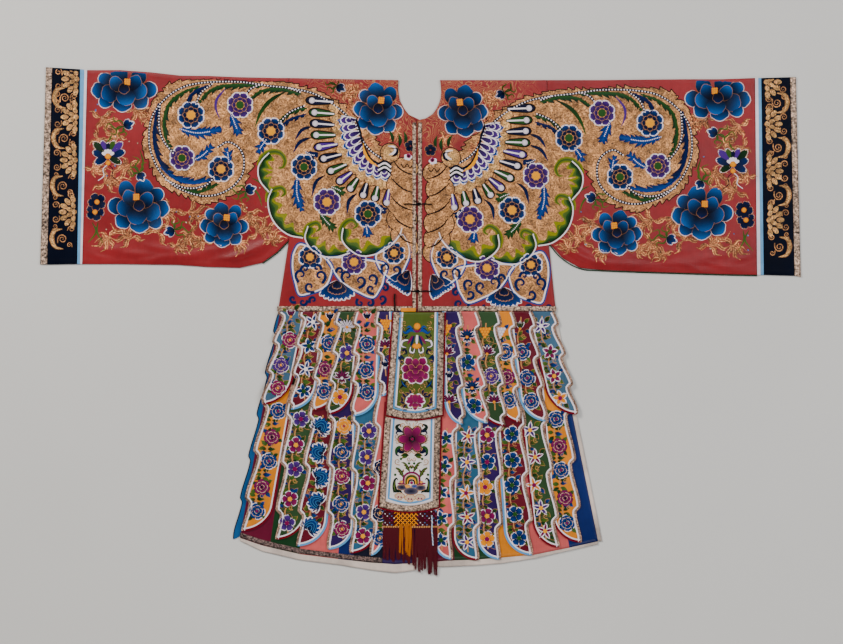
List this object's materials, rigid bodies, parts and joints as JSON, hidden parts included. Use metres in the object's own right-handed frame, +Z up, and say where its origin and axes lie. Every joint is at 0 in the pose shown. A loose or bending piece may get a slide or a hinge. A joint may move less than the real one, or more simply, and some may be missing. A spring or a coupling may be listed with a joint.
{
  "type": "reversible theater costume",
  "caption": "Stage robe laid flat, front up: wide sleeves, centre front opening, two tiers of scalloped streamers on the skirt, a hanging centre panel with net and tassels.",
  "frame": {"origin": "on the surface the robe lies on, under the middle of its box", "axes": "+X to the right in view, along the sleeves; +Y to the shoulders; +Z up through the layers of cloth"},
  "size_m": [1.826, 1.226, 0.0124],
  "materials": {
    "red_satin": "damask satin, red",
    "navy_satin": "satin, navy",
    "stripe_satin": "satin strips, light blue and white",
    "metal_braid": "braid woven of metallic thread",
    "green_piping": "bias piping, dark green",
    "black_cord": "cord, black",
    "white_cotton": "cotton, off white",
    "gore_satin": "satin gores in several colours",
    "back_satin": "satin, plain red",
    "purple_satin": "embroidered satin, dark purple",
    "pink_satin": "embroidered satin, salmon pink",
    "green_satin": "embroidered satin, green",
    "yellow_satin": "embroidered satin, yellow",
    "crimson_satin": "embroidered satin, crimson",
    "greyblue_satin": "embroidered satin, grey blue",
    "teal_satin": "embroidered satin, teal",
    "blue_satin": "satin, blue",
    "panel_green_satin": "embroidered satin, moss green",
    "panel_white_satin": "embroidered satin, white",
    "orange_satin": "satin, orange",
    "maroon_silk": "silk strands, maroon",
    "yellow_silk": "silk strands, yellow"
  },
  "bodies": {
    "root": {"body_left": "red_satin", "body_right": "red_satin", "centre_braid_lower": "metal_braid", "centre_braid_upper": "metal_braid", "centre_panel_lower": "panel_white_satin", "centre_panel_upper": "panel_green_satin", "cuff_braid_left": "metal_braid", "cuff_braid_right": "metal_braid", "cuff_left": "navy_satin", "cuff_right": "navy_satin", "cuff_stripe_left": "stripe_satin", "cuff_stripe_right": "stripe_satin", "front_braid_left": "metal_braid", "front_braid_right": "metal_braid", "hem_band_left": "white_cotton", "hem_band_right": "white_cotton", "hem_braid_left": "metal_braid", "piping_left": "green_piping", "piping_right": "green_piping", "side_band_right": "white_cotton", "side_streamer_left": "blue_satin", "skirt_back": "back_satin", "skirt_left": "gore_satin", "skirt_right": "gore_satin", "sleeve_left": "red_satin", "sleeve_right": "red_satin", "streamer_lower_left_1": "pink_satin", "streamer_lower_left_2": "teal_satin", "streamer_lower_left_3": "purple_satin", "streamer_lower_left_4": "crimson_satin", "streamer_lower_left_5": "green_satin", "streamer_lower_left_6": "yellow_satin", "streamer_lower_right_1": "pink_satin", "streamer_lower_right_2": "teal_satin", "streamer_lower_right_3": "purple_satin", "streamer_lower_right_4": "crimson_satin", "streamer_lower_right_5": "green_satin", "streamer_lower_right_6": "yellow_satin", "streamer_upper_left_1": "purple_satin", "streamer_upper_left_2": "pink_satin", "streamer_upper_left_3": "green_satin", "streamer_upper_left_4": "yellow_satin", "streamer_upper_left_5": "crimson_satin", "streamer_upper_left_6": "greyblue_satin", "streamer_upper_right_1": "purple_satin", "streamer_upper_right_2": "pink_satin", "streamer_upper_right_3": "green_satin", "streamer_upper_right_4": "yellow_satin", "streamer_upper_right_5": "crimson_satin", "streamer_upper_right_6": "greyblue_satin", "tassel_left": "maroon_silk", "tassel_net": "maroon_silk", "tassel_right": "maroon_silk", "tassel_yellow": "yellow_silk", "tie_belly": "black_cord", "tie_chest": "black_cord", "tie_waist": "black_cord", "waist_braid_left": "metal_braid", "waist_braid_right": "metal_braid", "waist_tab": "orange_satin"}
  },
  "joints": []
}
